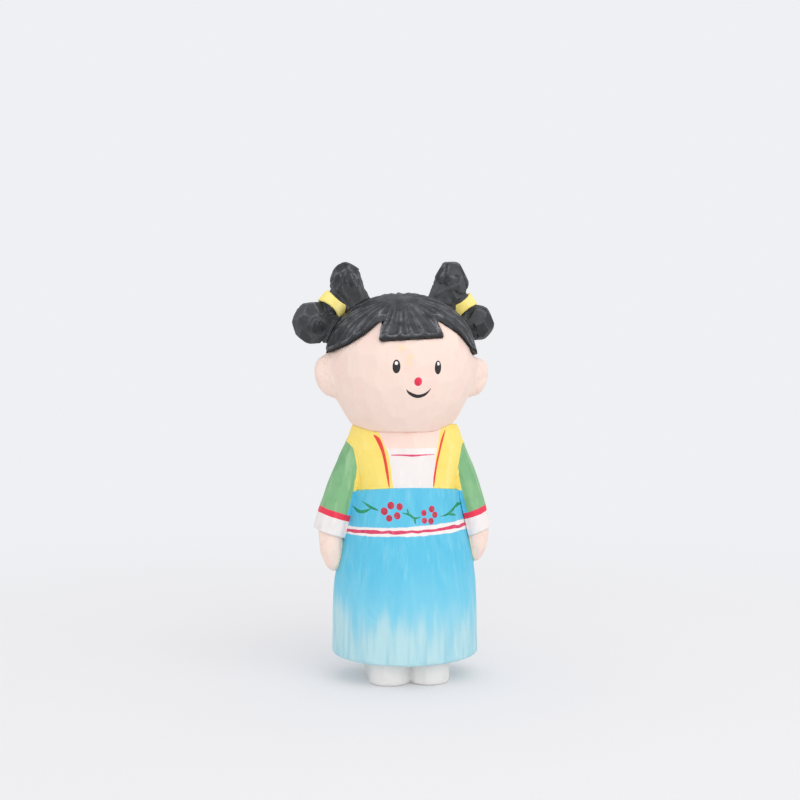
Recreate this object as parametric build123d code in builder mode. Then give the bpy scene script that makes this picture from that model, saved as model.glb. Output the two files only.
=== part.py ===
from build123d import *
import os

# A hand-carved, painted wooden doll, glued up from separate blocks on dowels.
# Millimetres. +Z is up, the doll faces -Y, and the origin is on the sole, under its axis.
# "left" is -X and "right" is +X, as seen by someone facing the doll.

# ---- driving dimensions -------------------------------------------------------------

GLUE_GAP = 0.05          # space left between glued faces, and round every dowel
END_GAP = 0.2            # space past each end of a dowel

# feet: two shoes carved side by side in one block
SOLE_Z = 0.0
SHOE_WIDTH = 11.4
SHOE_MERGE = 0.4         # how far the two shoes run into each other
SHOE_LENGTH = 25.4
SHOE_FRONT_Y = -14.2
SHOE_CORNER_R = 5.8
SHOE_EDGE_R = 0.9

# skirt and sash: one block, each section is (height, half width, half depth)
HEM_Z = 7.1
HEM_EDGE_R = 1.0
SKIRT_SECTIONS = [
    (HEM_Z, 21.2, 18.4),
    (20.0, 20.9, 17.9),
    (31.0, 20.1, 16.8),
    (41.5, 18.2, 15.0),
    (57.0, 16.4, 12.7),
]
SASH_TOP_Z = 54.9        # top edge of the sash at the middle of the front
SASH_ARCH = 2.2          # how far that edge falls at the sides

# torso, under the head
TORSO_SECTIONS = [
    (50.0, 16.2, 12.5),
    (60.0, 16.4, 12.5),
    (66.8, 16.9, 12.0),
    (70.6, 16.0, 11.2),
    (72.6, 15.2, 10.6),
]
NECK_Z = 70.6            # the head's flat base; the shoulders rise past it at the sides

# sleeve: a flattened cone that leans out from the shoulder, cut square to its own axis
SLEEVE_LEAN = 18.0       # degrees
SLEEVE_SECTIONS = [      # (x, z, half width, half depth)
    (13.0, 69.4, 2.9, 4.6),
    (14.9, 62.5, 4.2, 6.0),
    (17.6, 53.5, 5.0, 6.7),
    (21.0, 41.5, 5.1, 6.8),
]
ARM_SPREAD = {-1: 0.7, 1: -0.7}   # the left cuff is carved a little further out than the right

# hand: a mitten below the cuff
HAND_CENTRES = {-1: (-21.6, -2.4, 39.0), 1: (20.5, -2.4, 40.2)}
HAND_HALF_WIDTH = 3.5
HAND_HALF_HEIGHTS = {-1: 8.2, 1: 7.4}
HAND_LEAN = 7.0          # degrees, fingertips towards the skirt
TENON_R = 1.6
TENON_LENGTH = 4.5
TENON_OUT = 0.9          # the tenon sits this much further from the skirt than the cuff's axis

# head: turned about its own upright axis, so these are radii. Everything above the neck is
# drawn facing -Y on that axis, and then set on the torso a little off centre and turned.
HEAD_X = -0.9
HEAD_TURN = 4.5          # degrees
HEAD_HALF = 21.5
HEAD_WIDEST_Z = 91.0
CHEEK_R = 27.3           # the arc from the widest level down to the flat base
DOME_SIDE_R = 17.6       # the arc up from the widest level, which a flatter top arc meets
DOME_HEIGHT = 18.9
PROFILE_TURN = 100.0     # the head's profile is drawn at the back, clear of ears and buns

EAR_CENTRE = (21.3, 1.0, 87.0)
EAR_HALF_WIDTH = 4.2
EAR_HALF_HEIGHT = 6.8
EAR_LEAN = 16.0          # degrees, lobes towards the jaw

# hair: a bowl-shaped cap over a smaller dome on the head block
HAIR_PROUD = 0.9         # how far the hair stands out from the face
CROWN_IN = 3.9           # how far the dome under the cap lies inside the face
LEFT_HAIRLINE = [(-30.0, 92.6), (-24.0, 92.8), (-21.0, 93.4), (-18.2, 94.6), (-13.6, 97.6)]
FRINGE = [(-8.7, 101.8), (-10.2, 95.5), (8.0, 96.7), (6.1, 102.0)]
RIGHT_HAIRLINE = [(9.8, 99.8), (12.9, 98.0), (15.6, 95.4), (17.6, 93.6), (21.0, 92.8), (30.0, 92.4)]
EAR_BACK_Y = 5.4         # hair comes down behind the ear from here
NAPE_LINE = [(EAR_BACK_Y, 84.5), (12.0, 79.5), (17.0, 77.2), (30.0, 76.0)]

# buns, two a side, tied together by a band: (x, y, z), half width, half height
BUNS = {
    "upper_bun_left": ((-15.6, 4.0, 113.4), 4.9, 6.3),
    "upper_bun_right": ((15.6, 4.0, 114.2), 5.3, 6.6),
    "lower_bun_left": ((-25.4, 4.0, 101.9), 6.0, 6.3),
    "lower_bun_right": ((23.7, 4.0, 102.6), 5.1, 5.3),
}
BUN_ROOTS = {                    # the place inside the head that a bun's foot points at
    "upper_bun_left": (-8.0, 4.0, 95.0),
    "upper_bun_right": (8.0, 4.0, 95.0),
    "lower_bun_left": (0.0, 4.0, 95.0),
    "lower_bun_right": (0.0, 4.0, 95.0),
}
BUN_FOOT_R = 4.5
BUN_FOOT_FLARE_R = 5.2
BUN_NECK_R = 3.2
BUN_NECK_LENGTH = 4.0
TIE_R = 4.1
TIE_WIDTH = 3.4
TIE_EDGE_R = 0.4
TIE_IN = 0.9             # the pinch lies this much nearer to the head than the buns' line

# dowels
SPINE_DOWEL_R = 4.0
WAIST_DOWEL_Z = (44.0, 60.0)
NECK_DOWEL_Z = (62.0, 80.0)
FOOT_DOWEL_R = 2.0
FOOT_DOWEL_Z = (3.0, 17.0)
FOOT_DOWEL_X = SHOE_WIDTH / 2
ARM_DOWEL_R = 1.5
ARM_DOWEL_X = (9.5, 18.6)
ARM_DOWEL_Z = 59.0
BUN_DOWEL_R = 1.2
BUN_DOWEL_LENGTH = 8.0
BUN_DOWEL_IN_CAP = 3.6


# ---- shapes that more than one piece is cut from ------------------------------------

def ellipse_loft(sections, grow=0.0):
    """A smooth solid through upright sections of (height, half width, half depth)."""
    with BuildPart() as blank:
        for height, half_width, half_depth in sections:
            with BuildSketch(Plane.XY.offset(height)):
                Ellipse(half_width + grow, half_depth + grow)
        loft()
    return blank.part


PROFILE_PLANE = Plane.XZ.rotated((0, 0, PROFILE_TURN))


def dome_points(grow):
    """Where the head's side arc meets its top arc, and the middle of the top."""
    side_x = HEAD_HALF - DOME_SIDE_R
    rise = DOME_HEIGHT - DOME_SIDE_R
    top_r = (side_x ** 2 + DOME_HEIGHT ** 2 - DOME_SIDE_R ** 2) / (2 * rise)
    drop = top_r - DOME_HEIGHT
    share = (DOME_SIDE_R + grow) / (top_r - DOME_SIDE_R)
    join = (side_x + side_x * share, HEAD_WIDEST_Z + drop * share)
    return join, (0, HEAD_WIDEST_Z + DOME_HEIGHT + grow)


def turned_head(grow):
    """The head's egg, turned about Z from three arcs."""
    join, top = dome_points(grow)
    fall = HEAD_WIDEST_Z - NECK_Z
    base_half = HEAD_HALF - CHEEK_R + ((CHEEK_R + grow) ** 2 - fall ** 2) ** 0.5
    with BuildPart() as egg:
        with BuildSketch(PROFILE_PLANE):
            with BuildLine():
                widest = (HEAD_HALF + grow, HEAD_WIDEST_Z)
                TangentArc(widest, (base_half, NECK_Z), tangent=(0, -1))
                side = TangentArc(widest, join, tangent=(0, 1))
                TangentArc(join, top, tangent=side % 1)
                Polyline(top, (0, NECK_Z), (base_half, NECK_Z))
            make_face()
        revolve(axis=Axis.Z)
    return egg.part


def crown_dome(gap):
    """The smaller dome on the head block that the hair cap is hollowed to fit."""
    join, top = dome_points(gap - CROWN_IN)
    half = HEAD_HALF - CROWN_IN + gap
    with BuildPart() as crown:
        with BuildSketch(PROFILE_PLANE):
            with BuildLine():
                wall = Line((half, NECK_Z), (half, HEAD_WIDEST_Z))
                side = TangentArc(wall @ 1, join, tangent=(0, 1))
                TangentArc(join, top, tangent=side % 1)
                Polyline(top, (0, NECK_Z), wall @ 0)
            make_face()
        revolve(axis=Axis.Z)
    return crown.part


def hair_zone(gap):
    """Everywhere that is hair and not crown, drawn back by gap from the head block."""
    face = LEFT_HAIRLINE + FRINGE + RIGHT_HAIRLINE
    side = RIGHT_HAIRLINE[-1][0]
    with BuildPart() as zone:
        with Locations((0, 0, NECK_Z)):
            Box(2 * side, 2 * side, side * 2, align=(Align.CENTER, Align.CENTER, Align.MIN))
        with BuildSketch(Plane.XZ.offset(-EAR_BACK_Y)):
            Polygon(*face, (side, NECK_Z - 1), (-side, NECK_Z - 1), align=None)
            if gap:
                offset(amount=gap, kind=Kind.INTERSECTION)
        extrude(amount=2 * side, mode=Mode.SUBTRACT)
        with BuildSketch(Plane.YZ):
            top_z = NAPE_LINE[0][1]
            below = NECK_Z - 1
            Polygon((-side, top_z), *NAPE_LINE, (side, below), (-side, below), align=None)
            if gap:
                offset(amount=gap, kind=Kind.INTERSECTION)
        extrude(amount=2 * side, both=True, mode=Mode.SUBTRACT)
        add(crown_dome(gap), mode=Mode.SUBTRACT)
    return zone.part


def turned_egg(centre, half_width, half_height, tilt=0.0):
    """An egg turned about its own upright axis, which may lean in the XZ plane."""
    turn = 180 if centre[0] > 0 else 0       # the profile is drawn on the side nearer to x = 0
    frame = Plane(Location(centre) * Rotation(0, tilt, turn) * Rotation(90, 0, 0))
    with BuildPart() as egg:
        with BuildSketch(frame):
            Ellipse(half_width, half_height)
            split(bisect_by=Plane.YZ)
        revolve(axis=Axis(centre, frame.y_dir))
    return egg.part


def above_sash(gap):
    """Everything above the sash's arched top edge, raised by gap."""
    reach = SKIRT_SECTIONS[0][1]
    side_z = SASH_TOP_Z - SASH_ARCH + gap
    with BuildPart() as region:
        with BuildSketch(Plane.XZ):
            with BuildLine():
                arch = ThreePointArc((-reach, side_z), (0, SASH_TOP_Z + gap), (reach, side_z))
                Polyline(arch @ 1, (reach, NECK_Z + reach), (-reach, NECK_Z + reach), arch @ 0)
            make_face()
        extrude(amount=reach, both=True)
    return region.part


def bored(length, radius, plane):
    """A round bar that starts on a plane and runs along its normal."""
    with BuildPart() as bar:
        with BuildSketch(plane):
            Circle(radius)
        extrude(amount=length)
    return bar.part


def dowel_hole(plane, length, radius):
    """The hole for a dowel that starts on a plane, with room round it and past its ends."""
    return bored(length + 2 * END_GAP, radius + GLUE_GAP, plane.offset(-END_GAP))


SKIRT_BLANK = ellipse_loft(SKIRT_SECTIONS)
TORSO_BLANK = ellipse_loft(TORSO_SECTIONS)
SKIRT_CLEAR = ellipse_loft(SKIRT_SECTIONS, GLUE_GAP) - above_sash(GLUE_GAP)
TORSO_CLEAR = ellipse_loft(TORSO_SECTIONS, GLUE_GAP)
HAIR_CLEAR = turned_head(HAIR_PROUD + GLUE_GAP)
HEAD_PLACE = Location((HEAD_X, 0, 0), (0, 0, HEAD_TURN))
HEAD_CLEAR = HEAD_PLACE * turned_head(GLUE_GAP)
HEAD_BASE_CLEAR = Pos(0, 0, -GLUE_GAP) * HEAD_CLEAR

WAIST_PLANE = Plane.XY.offset(WAIST_DOWEL_Z[0])
WAIST_LENGTH = WAIST_DOWEL_Z[1] - WAIST_DOWEL_Z[0]
NECK_PLANE = Plane((HEAD_X, 0, NECK_DOWEL_Z[0]))
NECK_LENGTH = NECK_DOWEL_Z[1] - NECK_DOWEL_Z[0]
FOOT_PLANES = [Plane((x, 0, FOOT_DOWEL_Z[0])) for x in (-FOOT_DOWEL_X, FOOT_DOWEL_X)]
FOOT_LENGTH = FOOT_DOWEL_Z[1] - FOOT_DOWEL_Z[0]
ARM_PLANES = {
    side: Plane((side * ARM_DOWEL_X[0], 0, ARM_DOWEL_Z), z_dir=(side, 0, 0)) for side in (-1, 1)
}
ARM_LENGTH = ARM_DOWEL_X[1] - ARM_DOWEL_X[0]


# ---- body -----------------------------------------------------------------------------

with BuildPart() as feet:
    with BuildSketch(Plane.XY.offset(SOLE_Z)):
        shoe_y = SHOE_FRONT_Y + SHOE_LENGTH / 2
        shoe_x = (SHOE_WIDTH - SHOE_MERGE) / 2
        with Locations((-shoe_x, shoe_y), (shoe_x, shoe_y)):
            RectangleRounded(SHOE_WIDTH + SHOE_MERGE, SHOE_LENGTH, SHOE_CORNER_R)
    extrude(amount=HEM_Z - GLUE_GAP)
    fillet(feet.faces().sort_by(Axis.Z)[0].edges(), radius=SHOE_EDGE_R)
    for foot_plane in FOOT_PLANES:
        add(dowel_hole(foot_plane, FOOT_LENGTH, FOOT_DOWEL_R), mode=Mode.SUBTRACT)

with BuildPart() as skirt:
    add(SKIRT_BLANK)
    fillet(skirt.faces().sort_by(Axis.Z)[0].edges(), radius=HEM_EDGE_R)
    add(above_sash(0.0), mode=Mode.SUBTRACT)
    add(dowel_hole(WAIST_PLANE, WAIST_LENGTH, SPINE_DOWEL_R), mode=Mode.SUBTRACT)
    for foot_plane in FOOT_PLANES:
        add(dowel_hole(foot_plane, FOOT_LENGTH, FOOT_DOWEL_R), mode=Mode.SUBTRACT)

with BuildPart() as torso:
    add(TORSO_BLANK)
    add(above_sash(GLUE_GAP), mode=Mode.INTERSECT)
    add(HEAD_BASE_CLEAR, mode=Mode.SUBTRACT)
    add(dowel_hole(WAIST_PLANE, WAIST_LENGTH, SPINE_DOWEL_R), mode=Mode.SUBTRACT)
    add(dowel_hole(NECK_PLANE, NECK_LENGTH, SPINE_DOWEL_R), mode=Mode.SUBTRACT)
    for arm_plane in ARM_PLANES.values():
        add(dowel_hole(arm_plane, ARM_LENGTH, ARM_DOWEL_R), mode=Mode.SUBTRACT)


# ---- arms -----------------------------------------------------------------------------

def sleeve_plane(side, x, z, y=0.0):
    """A plane square to a sleeve's axis, whose normal runs down the arm."""
    spread = ARM_SPREAD[side] * (NECK_Z - z) / (NECK_Z - SLEEVE_SECTIONS[-1][1])
    return Plane(Location((side * (x + spread), y, z)) * Rotation(0, 180 - side * SLEEVE_LEAN, 0))


def tenon_plane(side):
    """Where a hand's tenon ends, up inside the cuff."""
    x, z = SLEEVE_SECTIONS[-1][:2]
    hand_y = HAND_CENTRES[side][1]
    return sleeve_plane(side, x + TENON_OUT, z, hand_y).offset(-TENON_LENGTH)


def carved_hand(side):
    """A mitten cut square under the cuff, with a round tenon that goes up into it."""
    cuff = sleeve_plane(side, *SLEEVE_SECTIONS[-1][:2])
    with BuildPart() as hand:
        add(turned_egg(
            HAND_CENTRES[side], HAND_HALF_WIDTH, HAND_HALF_HEIGHTS[side], side * HAND_LEAN
        ))
        split(bisect_by=cuff.offset(GLUE_GAP), keep=Keep.TOP)
        add(SKIRT_CLEAR, mode=Mode.SUBTRACT)
        add(bored(TENON_LENGTH + 2, TENON_R, tenon_plane(side)))
    return hand


def carved_sleeve(side):
    """A sleeve fitted to the torso and the sash, bored for its dowel and for the hand."""
    with BuildPart() as sleeve:
        for x, z, half_width, half_depth in SLEEVE_SECTIONS:
            with BuildSketch(sleeve_plane(side, x, z)):
                Ellipse(half_width, half_depth)
        loft()
        add(TORSO_CLEAR, mode=Mode.SUBTRACT)
        add(SKIRT_CLEAR, mode=Mode.SUBTRACT)
        add(HEAD_CLEAR, mode=Mode.SUBTRACT)
        add(dowel_hole(ARM_PLANES[side], ARM_LENGTH, ARM_DOWEL_R), mode=Mode.SUBTRACT)
        add(dowel_hole(tenon_plane(side), TENON_LENGTH, TENON_R), mode=Mode.SUBTRACT)
    return sleeve


hand_left = carved_hand(-1)
hand_right = carved_hand(1)
sleeve_left = carved_sleeve(-1)
sleeve_right = carved_sleeve(1)


# ---- buns and their ties ----------------------------------------------------------------

def unit_towards(start, end):
    """The direction from one place to another."""
    return (Vector(*end) - Vector(*start)).normalized()


def bun_dowel_plane(name):
    """Where a bun's dowel starts, on the axis from the bun's centre into the cap."""
    centre = BUNS[name][0]
    inward = unit_towards(centre, BUN_ROOTS[name])
    reach = (Vector(*BUN_ROOTS[name]) - Vector(*centre)).length
    ray = bored(reach, 0.05, Plane(centre, z_dir=inward))
    outside = ray - HAIR_CLEAR
    depth = outside.volume / ray.volume * reach
    start = Vector(*centre) + inward * (depth + BUN_DOWEL_IN_CAP - BUN_DOWEL_LENGTH)
    return Plane(start, z_dir=inward)


BUN_DOWEL_PLANES = {name: bun_dowel_plane(name) for name in BUNS}


def tie_frame(side):
    """Where the two buns of a side are pinched: a plane whose normal runs lower to upper."""
    upper, upper_half, upper_height = BUNS["upper_bun_" + side]
    lower, lower_half, lower_height = BUNS["lower_bun_" + side]
    along = unit_towards(lower, upper)
    apart = (Vector(*upper) - Vector(*lower)).length
    upper_reach = ((along.X / upper_half) ** 2 + (along.Z / upper_height) ** 2) ** -0.5
    middle = Vector(*lower) + along * (lower_half + apart - upper_reach) / 2
    inward = unit_towards(middle, BUN_ROOTS["lower_bun_" + side])
    return Plane(middle + inward * TIE_IN, z_dir=along)


TIE_FRAMES = {side: tie_frame(side) for side in ("left", "right")}


def tie_ring(side, gap):
    """The band round the pinch, or the room that it needs when gap is more than zero."""
    frame = TIE_FRAMES[side]
    width = TIE_WIDTH + 2 * gap
    with BuildPart() as ring:
        with BuildSketch(frame.offset(-width / 2)):
            Circle(TIE_R + gap)
            Circle(BUN_NECK_R + GLUE_GAP - gap, mode=Mode.SUBTRACT)
        extrude(amount=width)
        if not gap:
            rims = ring.edges().filter_by(GeomType.CIRCLE).group_by(SortBy.RADIUS)[-1]
            fillet(rims, radius=TIE_EDGE_R)
            add(HAIR_CLEAR, mode=Mode.SUBTRACT)
    return ring


def carved_bun(name):
    """An egg with a flared foot on the cap and half of the neck that the band goes round."""
    centre, half_width, half_height = BUNS[name]
    height, _, side = name.split("_")
    inward = unit_towards(centre, BUN_ROOTS[name])
    pinch = TIE_FRAMES[side]
    up_or_down = 1 if height == "upper" else -1
    neck_plane = Plane(pinch.origin, z_dir=pinch.z_dir * up_or_down).offset(GLUE_GAP / 2)
    reach = (Vector(*BUN_ROOTS[name]) - Vector(*centre)).length / 2
    with BuildPart() as bun:
        add(turned_egg(centre, half_width, half_height))
        with BuildSketch(Plane(centre, z_dir=inward)):
            Circle(BUN_FOOT_R)
        with BuildSketch(Plane(centre, z_dir=inward).offset(reach)):
            Circle(BUN_FOOT_FLARE_R)
        loft()
        split(bisect_by=neck_plane, keep=Keep.TOP)
        with BuildSketch(neck_plane):
            Circle(BUN_NECK_R)
        extrude(amount=BUN_NECK_LENGTH)
        add(tie_ring(side, GLUE_GAP).part, mode=Mode.SUBTRACT)
        add(HAIR_CLEAR, mode=Mode.SUBTRACT)
        hole = dowel_hole(BUN_DOWEL_PLANES[name], BUN_DOWEL_LENGTH, BUN_DOWEL_R)
        add(hole, mode=Mode.SUBTRACT)
    return bun


# ---- head and hair ----------------------------------------------------------------------

def face_block():
    """The head block: skin, ears, and the smaller dome that the hair cap sits on."""
    ear_x, ear_y, ear_z = EAR_CENTRE
    with BuildPart() as block:
        add(turned_head(0.0))
        for side in (-1, 1):
            ear_centre = (side * ear_x, ear_y, ear_z)
            add(turned_egg(ear_centre, EAR_HALF_WIDTH, EAR_HALF_HEIGHT, side * EAR_LEAN))
        add(hair_zone(0.0), mode=Mode.SUBTRACT)
        neck_start = Plane.XY.offset(NECK_DOWEL_Z[0])
        add(dowel_hole(neck_start, NECK_LENGTH, SPINE_DOWEL_R), mode=Mode.SUBTRACT)
    return block


def cap_block(block):
    """The cap of hair, hollowed to fit the head block and bored for the buns."""
    with BuildPart() as cap:
        add(turned_head(HAIR_PROUD))
        add(hair_zone(GLUE_GAP), mode=Mode.INTERSECT)
        add(block.part, mode=Mode.SUBTRACT)
        for plane in BUN_DOWEL_PLANES.values():
            add(dowel_hole(plane, BUN_DOWEL_LENGTH, BUN_DOWEL_R), mode=Mode.SUBTRACT)
    return cap


def bun_dowel_group():
    """The four dowels that hold the buns."""
    with BuildPart() as group:
        for plane in BUN_DOWEL_PLANES.values():
            add(bored(BUN_DOWEL_LENGTH, BUN_DOWEL_R, plane))
    return group


def set_on_torso(blank):
    """A piece of the head, moved and turned to where the head sits."""
    with BuildPart() as placed:
        add(HEAD_PLACE * blank.part)
    return placed


face = face_block()
head = set_on_torso(face)
hair_cap = set_on_torso(cap_block(face))
upper_bun_left = set_on_torso(carved_bun("upper_bun_left"))
upper_bun_right = set_on_torso(carved_bun("upper_bun_right"))
lower_bun_left = set_on_torso(carved_bun("lower_bun_left"))
lower_bun_right = set_on_torso(carved_bun("lower_bun_right"))
hair_tie_left = set_on_torso(tie_ring("left", 0.0))
hair_tie_right = set_on_torso(tie_ring("right", 0.0))
bun_dowels = set_on_torso(bun_dowel_group())


# ---- the other hidden dowels ----------------------------------------------------------------

with BuildPart() as waist_dowel:
    add(bored(WAIST_LENGTH, SPINE_DOWEL_R, WAIST_PLANE))

with BuildPart() as neck_dowel:
    add(bored(NECK_LENGTH, SPINE_DOWEL_R, NECK_PLANE))

with BuildPart() as foot_dowels:
    for foot_plane in FOOT_PLANES:
        add(bored(FOOT_LENGTH, FOOT_DOWEL_R, foot_plane))

with BuildPart() as arm_dowels:
    for arm_plane in ARM_PLANES.values():
        add(bored(ARM_LENGTH, ARM_DOWEL_R, arm_plane))


# ---- write every piece --------------------------------------------------------------------

os.makedirs("parts", exist_ok=True)

pieces = {
    "feet": feet,
    "skirt": skirt,
    "torso": torso,
    "sleeve_left": sleeve_left,
    "sleeve_right": sleeve_right,
    "hand_left": hand_left,
    "hand_right": hand_right,
    "head": head,
    "hair_cap": hair_cap,
    "upper_bun_left": upper_bun_left,
    "upper_bun_right": upper_bun_right,
    "lower_bun_left": lower_bun_left,
    "lower_bun_right": lower_bun_right,
    "hair_tie_left": hair_tie_left,
    "hair_tie_right": hair_tie_right,
    "waist_dowel": waist_dowel,
    "neck_dowel": neck_dowel,
    "foot_dowels": foot_dowels,
    "arm_dowels": arm_dowels,
    "bun_dowels": bun_dowels,
}

for name, piece in pieces.items():
    piece.part.label = name
    export_step(piece.part, f"parts/{name}.step")
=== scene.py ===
import math

import bpy
import numpy as np
from mathutils import Matrix, Vector
from mathutils.bvhtree import BVHTree


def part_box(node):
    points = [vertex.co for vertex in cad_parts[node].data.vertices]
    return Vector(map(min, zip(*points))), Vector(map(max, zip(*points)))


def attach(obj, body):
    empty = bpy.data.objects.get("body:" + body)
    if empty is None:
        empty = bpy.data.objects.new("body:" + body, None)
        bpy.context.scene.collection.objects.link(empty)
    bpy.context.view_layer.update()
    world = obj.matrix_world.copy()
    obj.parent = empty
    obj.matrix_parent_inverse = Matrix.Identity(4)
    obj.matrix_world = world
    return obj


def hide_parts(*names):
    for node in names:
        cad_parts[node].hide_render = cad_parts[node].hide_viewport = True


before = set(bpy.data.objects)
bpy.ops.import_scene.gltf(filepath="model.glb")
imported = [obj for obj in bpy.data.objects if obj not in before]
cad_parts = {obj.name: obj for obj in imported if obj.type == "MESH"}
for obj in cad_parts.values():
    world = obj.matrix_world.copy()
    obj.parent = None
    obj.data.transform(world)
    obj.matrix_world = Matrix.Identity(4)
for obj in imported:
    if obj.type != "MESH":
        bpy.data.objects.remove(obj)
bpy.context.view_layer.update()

# A small painted wooden doll, carved with a knife and glued up on dowels.
# Shapes are worked in millimetres in the frame's axes: +Z up, the doll faces -Y.
# "left" is -X and "right" is +X, as seen by someone facing the doll.

MM = 0.001

# ---- camera ---------------------------------------------------------------------------

CAMERA_AZIMUTH = -7.5        # degrees round the doll, towards -X
CAMERA_DISTANCE = 333.5
CAMERA_HEIGHT = 79.6
CAMERA_SIDEWAYS = -1.45      # along the camera's own right
CAMERA_LENS = 51.75

# ---- places that the paint keeps to, from the frame -----------------------------------


def box_mm(node):
    """A CAD node's lowest and highest corners in millimetres."""
    low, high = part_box(node)
    return np.array(low) / MM, np.array(high) / MM


HEAD_TURN = math.radians(4.5)
HEAD_X = float(np.mean([corner[0] for corner in box_mm("neck_dowel")]))
NECK_Z = float(box_mm("head")[0][2])
HEM_Z = float(box_mm("skirt")[0][2])
SASH_Z = float(box_mm("skirt")[1][2])
CUFF_Z = 41.5                        # the middle of a cuff's open end
CUFF_X = {-1: 21.7, 1: 20.3}
CUFF_TUCK = {-1: 0.0, 1: 0.35}       # the cuff's front inner corner is cut back by this
SLEEVE_LEAN = math.radians(18.0)
GLUE_LINE = 0.12                     # paint that closes the line between two pieces
PROUD_HAIR = 0.9                     # how far the hair stands out from the face

# ---- colours, as sRGB bytes -------------------------------------------------------------

SKIN = (250, 224, 211)
SKIN_ROSE = (248, 213, 202)
SKIN_CREAM = (251, 230, 212)
STAIN = (252, 224, 160)
HAIR = (38, 39, 43)
HAIR_WORN = (64, 66, 69)
HAIR_RUBBED = (142, 145, 150)
# a dark line painted along the hairline, also used as painted shade on the hair's walls and underside
HAIR_EDGE_LINE_AND_SHADE = (24, 18, 18)
YELLOW = (255, 229, 120)
YELLOW_PALE = (255, 239, 164)
YELLOW_DEEP = (252, 217, 96)
TIE = (255, 236, 132)
GREEN = (132, 186, 134)
GREEN_PALE = (160, 200, 154)
GREEN_DEEP = (116, 172, 122)
RED = (238, 58, 84)
RED_PALE = (246, 88, 106)
RED_DEEP = (222, 44, 74)
PIPING_RED = (236, 66, 58)
ROSE = (226, 66, 112)
WHITE = (242, 236, 233)
WHITE_BRIGHT = (250, 247, 245)
WHITE_WARM = (249, 240, 232)
WHITE_SHADE = (238, 228, 222)
CUFF_SHADE = (230, 226, 225)
BAND_SHADE = (232, 236, 240)
SKY = (94, 196, 228)
SKY_DEEP = (72, 182, 216)
SKY_LIGHT = (136, 212, 234)
HEM_PALE = (186, 224, 230)
HEM_MIXED = (166, 214, 226)
# painted shade for the skirt's carved pleat grooves
PAINTED_GROOVE_SHADE = (118, 184, 208)
LEAF = (36, 146, 98)
BERRY = (204, 34, 74)
BERRY_CORE = (174, 62, 74)
SHOE = (234, 231, 228)
SHOE_GREY = (222, 219, 217)
BLACK = (34, 30, 32)
BARE_WOOD = (222, 190, 146)
BARE_WOOD_DARK = (196, 156, 108)
BARE_WOOD_RING = (206, 170, 122)


def linear(colour):
    """An sRGB colour in bytes as Blender's linear RGBA."""
    values = [c / 255.0 for c in colour]
    return [c / 12.92 if c <= 0.04045 else ((c + 0.055) / 1.055) ** 2.4 for c in values] + [1.0]


# ---- meshes as arrays ---------------------------------------------------------------------

class Shell:
    """A closed quad mesh in millimetres, with named values on its points."""

    def __init__(self, points, faces):
        self.points = points
        self.faces = faces
        pairs = np.concatenate([faces[:, [k, (k + 1) % 4]] for k in range(4)])
        self.edges = np.unique(np.sort(pairs, axis=1), axis=0)
        self.values = {}

    def normals(self):
        a, b, c, d = (self.points[self.faces[:, k]] for k in range(4))
        across = np.cross(c - a, d - b)
        total = np.zeros_like(self.points)
        for k in range(4):
            for axis in range(3):
                total[:, axis] += np.bincount(self.faces[:, k], across[:, axis], len(total))
        return total / np.maximum(np.linalg.norm(total, axis=1, keepdims=True), 1e-12)

    def averaged(self, values):
        """Each point's mean over the points that share an edge with it."""
        one, other = self.edges[:, 0], self.edges[:, 1]
        count = np.bincount(self.edges.ravel(), minlength=len(self.points))
        columns = [
            np.bincount(one, column[other], len(count)) + np.bincount(other, column[one], len(count))
            for column in np.atleast_2d(values.T)
        ]
        return (np.array(columns) / count).T.reshape(values.shape)

    def smooth(self, rounds, weight=1.0):
        weight = np.broadcast_to(np.asarray(weight, float), len(self.points))[:, None]
        for _ in range(rounds):
            self.points = self.points + 0.5 * weight * (self.averaged(self.points) - self.points)

    def tree(self):
        return BVHTree.FromPolygons(self.points.tolist(), self.faces.tolist())


def remeshed(node, voxel):
    """A CAD node's shape as an even quad mesh."""
    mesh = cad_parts[node].data.copy()
    mesh.transform(Matrix.Scale(1 / MM, 4))
    mesh.materials.clear()
    blank = bpy.data.objects.new("blank", mesh)
    bpy.context.scene.collection.objects.link(blank)
    weld = blank.modifiers.new("weld", "WELD")
    weld.merge_threshold = 0.0005
    remesh = blank.modifiers.new("remesh", "REMESH")
    remesh.mode = "VOXEL"
    remesh.voxel_size = voxel
    graph = bpy.context.evaluated_depsgraph_get()
    even = bpy.data.meshes.new_from_object(blank.evaluated_get(graph))
    points = np.zeros(len(even.vertices) * 3)
    even.vertices.foreach_get("co", points)
    faces = np.zeros(len(even.loops), int)
    even.loops.foreach_get("vertex_index", faces)
    bpy.data.objects.remove(blank)
    bpy.data.meshes.remove(even)
    bpy.data.meshes.remove(mesh)
    return Shell(points.reshape(-1, 3), faces.reshape(-1, 4))


def step(low, high, values):
    """A smooth rise from 0 at low to 1 at high."""
    t = np.clip((values - low) / (high - low), 0.0, 1.0)
    return t * t * (3.0 - 2.0 * t)


def to_head(points):
    """Points in the head's own frame, which faces -Y with the neck's axis at the origin."""
    c, s = math.cos(HEAD_TURN), math.sin(HEAD_TURN)
    x, y, z = (points - (HEAD_X, 0.0, 0.0)).T
    return np.stack([c * x + s * y, c * y - s * x, z], axis=1)


def from_head(point):
    return Matrix.Translation((HEAD_X, 0, 0)) @ Matrix.Rotation(HEAD_TURN, 4, "Z") @ Vector(point)


CAD_TREES = {}


def cad_tree(node):
    """A CAD node's surface, for measuring distances, in millimetres."""
    if node not in CAD_TREES:
        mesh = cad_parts[node].data
        points = [tuple(v.co / MM) for v in mesh.vertices]
        CAD_TREES[node] = BVHTree.FromPolygons(points, [tuple(p.vertices) for p in mesh.polygons])
    return CAD_TREES[node]


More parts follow.
